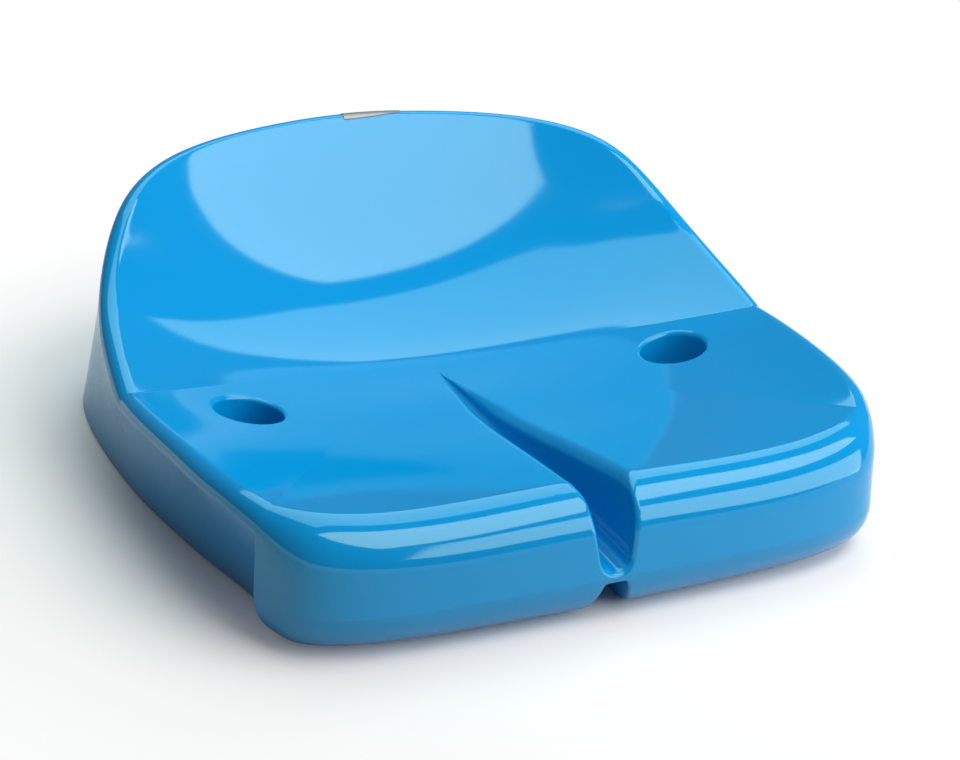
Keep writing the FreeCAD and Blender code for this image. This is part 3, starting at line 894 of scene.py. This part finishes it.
# %% The shape of the paper sweep
FLOOR_Z = -0.0005
SWEEP_R, SWEEP_BEND, SWEEP_SIDES = 4.0, 0.4, 96
profile = [(SWEEP_R, 0.0)]
for a in np.radians(np.linspace(10, 90, 9)):
    profile.append((SWEEP_R + SWEEP_BEND * math.sin(a), SWEEP_BEND * (1 - math.cos(a))))
turns = 2 * math.pi * np.arange(SWEEP_SIDES) / SWEEP_SIDES
points = [(r * math.cos(t), r * math.sin(t), FLOOR_Z + z) for r, z in profile for t in turns]
faces = [tuple(range(SWEEP_SIDES))]
for row in range(len(profile) - 1):
    for k in range(SWEEP_SIDES):
        low_k, high_k = row * SWEEP_SIDES, (row + 1) * SWEEP_SIDES
        j = (k + 1) % SWEEP_SIDES
        faces.append((low_k + k, high_k + k, high_k + j, low_k + j))
sweep_mesh = bpy.data.meshes.new("paper sweep")
sweep_mesh.from_pydata(points, [], faces)
sweep_mesh.flip_normals()
sweep_mesh.shade_smooth()
sweep_mesh.set_sharp_from_angle(angle=math.radians(40))
sweep = new_object("paper sweep", sweep_mesh)
print("paper sweep:", len(faces), "faces")

# %% White paper
PAPER, PAPER_SEEN = (0.6,) * 3, (0.92,) * 3
WHITE_TO_CAMERA = 0.18, 0.45
WHITE_TO_SHINE = 0.4, 0.95
paper = bpy.data.materials.new("White paper")
sweep_mesh.materials.append(paper)
tree, shader = plain_material(paper, PAPER, 1.0, Specular_IOR_Level=0.0)
seen = add_node(tree, "ShaderNodeLightPath").outputs
by_camera = Expr(tree, seen["Is Camera Ray"])
by_shine = Expr(tree, seen["Is Glossy Ray"]).larger(Expr(tree, seen["Is Transmission Ray"]))
link_in(tree, shader.inputs["Base Color"], two_tones(tree, by_camera.larger(by_shine), PAPER, PAPER_SEEN))
here = add_node(tree, "ShaderNodeTexCoord").outputs["Object"]
reach = add_node(tree, "ShaderNodeVectorMath", {"operation": "LENGTH"}, Vector=here)
far = Expr(tree, reach.outputs["Value"])
share = by_camera * far.within(*WHITE_TO_CAMERA) + by_shine * far.within(*WHITE_TO_SHINE)
white = add_node(tree, "ShaderNodeEmission", Color=(1, 1, 1, 1), Strength=1.0)
mix = add_node(tree, "ShaderNodeMixShader")
for socket, value in zip(mix.inputs, (share.socket, shader.outputs[0], white.outputs[0])):
    link_in(tree, socket, value)
link_in(tree, tree.nodes["Material Output"].inputs[0], mix.outputs[0])
print(paper.name, "has", len(tree.nodes), "nodes")

# %% The plain light of the room
ROOM_LIGHT = 0.15
world = bpy.data.worlds.new("Studio")
bpy.context.scene.world = world
world.use_nodes = True
background = world.node_tree.nodes["Background"]
background.inputs["Color"].default_value = (1, 1, 1, 1)
background.inputs["Strength"].default_value = ROOM_LIGHT

# %% [markdown]
# Three softboxes light the seat, as their mirror images in its gloss show. A slightly warm
# one stands high at the front right and gives the window of light on the back. A cooler
# one lies flat above and behind, and gives the band across the dish. The third leans low
# beside the front and gives the strip along the rolled edge. Each is given by one corner
# and its two edges, because that is how the edges of a highlight are traced back to a lamp.

# %% Softboxes
def softbox(name, corner, along, across, radiance, colour=(1.0, 1.0, 1.0)):
    """A rectangular lamp from one corner and two edges, shining away from along x across."""
    x, y = Vector(along), Vector(across)
    light = bpy.data.lights.new(name, "AREA")
    light.shape = "RECTANGLE"
    light.size, light.size_y = x.length, y.length
    light.energy = radiance * math.pi * x.length * y.length
    light.color = colour
    thing = bpy.data.objects.new(name, light)
    bpy.context.scene.collection.objects.link(thing)
    x_way = x.normalized()
    z_way = x.cross(y).normalized()
    turn = Matrix((x_way, z_way.cross(x_way), z_way)).transposed().to_4x4()
    thing.matrix_world = Matrix.Translation(Vector(corner) + (x + y) / 2) @ turn
    print(name, "is", round(x.length, 2), "by", round(y.length, 2), "m,", round(light.energy, 1), "W")


softbox("front softbox", corner=(0.985, -0.02, 1.72), along=(-1.236, -0.522, -0.359),
        across=(0.278, -0.110, -0.81), radiance=4.6, colour=(1.0, 0.94, 0.88))
softbox("rear softbox", corner=(-0.104, -0.184, 1.3), along=(1.516, 0.91, 0.0),
        across=(-0.50, 0.836, 0.0), radiance=2.3, colour=(0.75, 1.0, 1.0))
softbox("side softbox", corner=(0.15, -1.12, 0.42), along=(0.71, 0.62, -0.40),
        across=(0.141, 0.123, 0.442), radiance=3.6)

# %% [markdown]
# The camera stands a little over a metre away, in front and to the left, and looks down on
# the seat. Its angles are written as a photographer would read them off a tripod head, and
# the lens follows from its focal length in pixels of the picture.

# %% The camera
CAMERA_AZ, CAMERA_EL, CAMERA_ROLL = (math.radians(a) for a in (-25.87, 26.28, 3.68))
CAMERA_FAR = 1.2595
CAMERA_TARGET = Vector((0.00655, 0.0, 0.0499))
PHOTO_WIDTH, FOCAL_PIXELS, SENSOR = 960, 2097.3, 36.0
level = math.cos(CAMERA_EL)
back = Vector((math.sin(CAMERA_AZ) * level, -math.cos(CAMERA_AZ) * level, math.sin(CAMERA_EL)))
right = Vector((math.cos(CAMERA_AZ), math.sin(CAMERA_AZ), 0))
tilt = Matrix((right, back.cross(right), back)).transposed().to_4x4()
camera_data = bpy.data.cameras.new("camera")
camera_data.sensor_width = SENSOR
camera_data.lens = FOCAL_PIXELS / PHOTO_WIDTH * SENSOR
camera = bpy.data.objects.new("camera", camera_data)
bpy.context.scene.collection.objects.link(camera)
camera.matrix_world = (Matrix.Translation(CAMERA_TARGET + back * CAMERA_FAR) @ tilt
                       @ Matrix.Rotation(CAMERA_ROLL, 4, "Z"))
bpy.context.scene.camera = camera
bpy.context.scene.view_settings.view_transform = "Standard"
print("lens in mm:", round(camera_data.lens, 1))
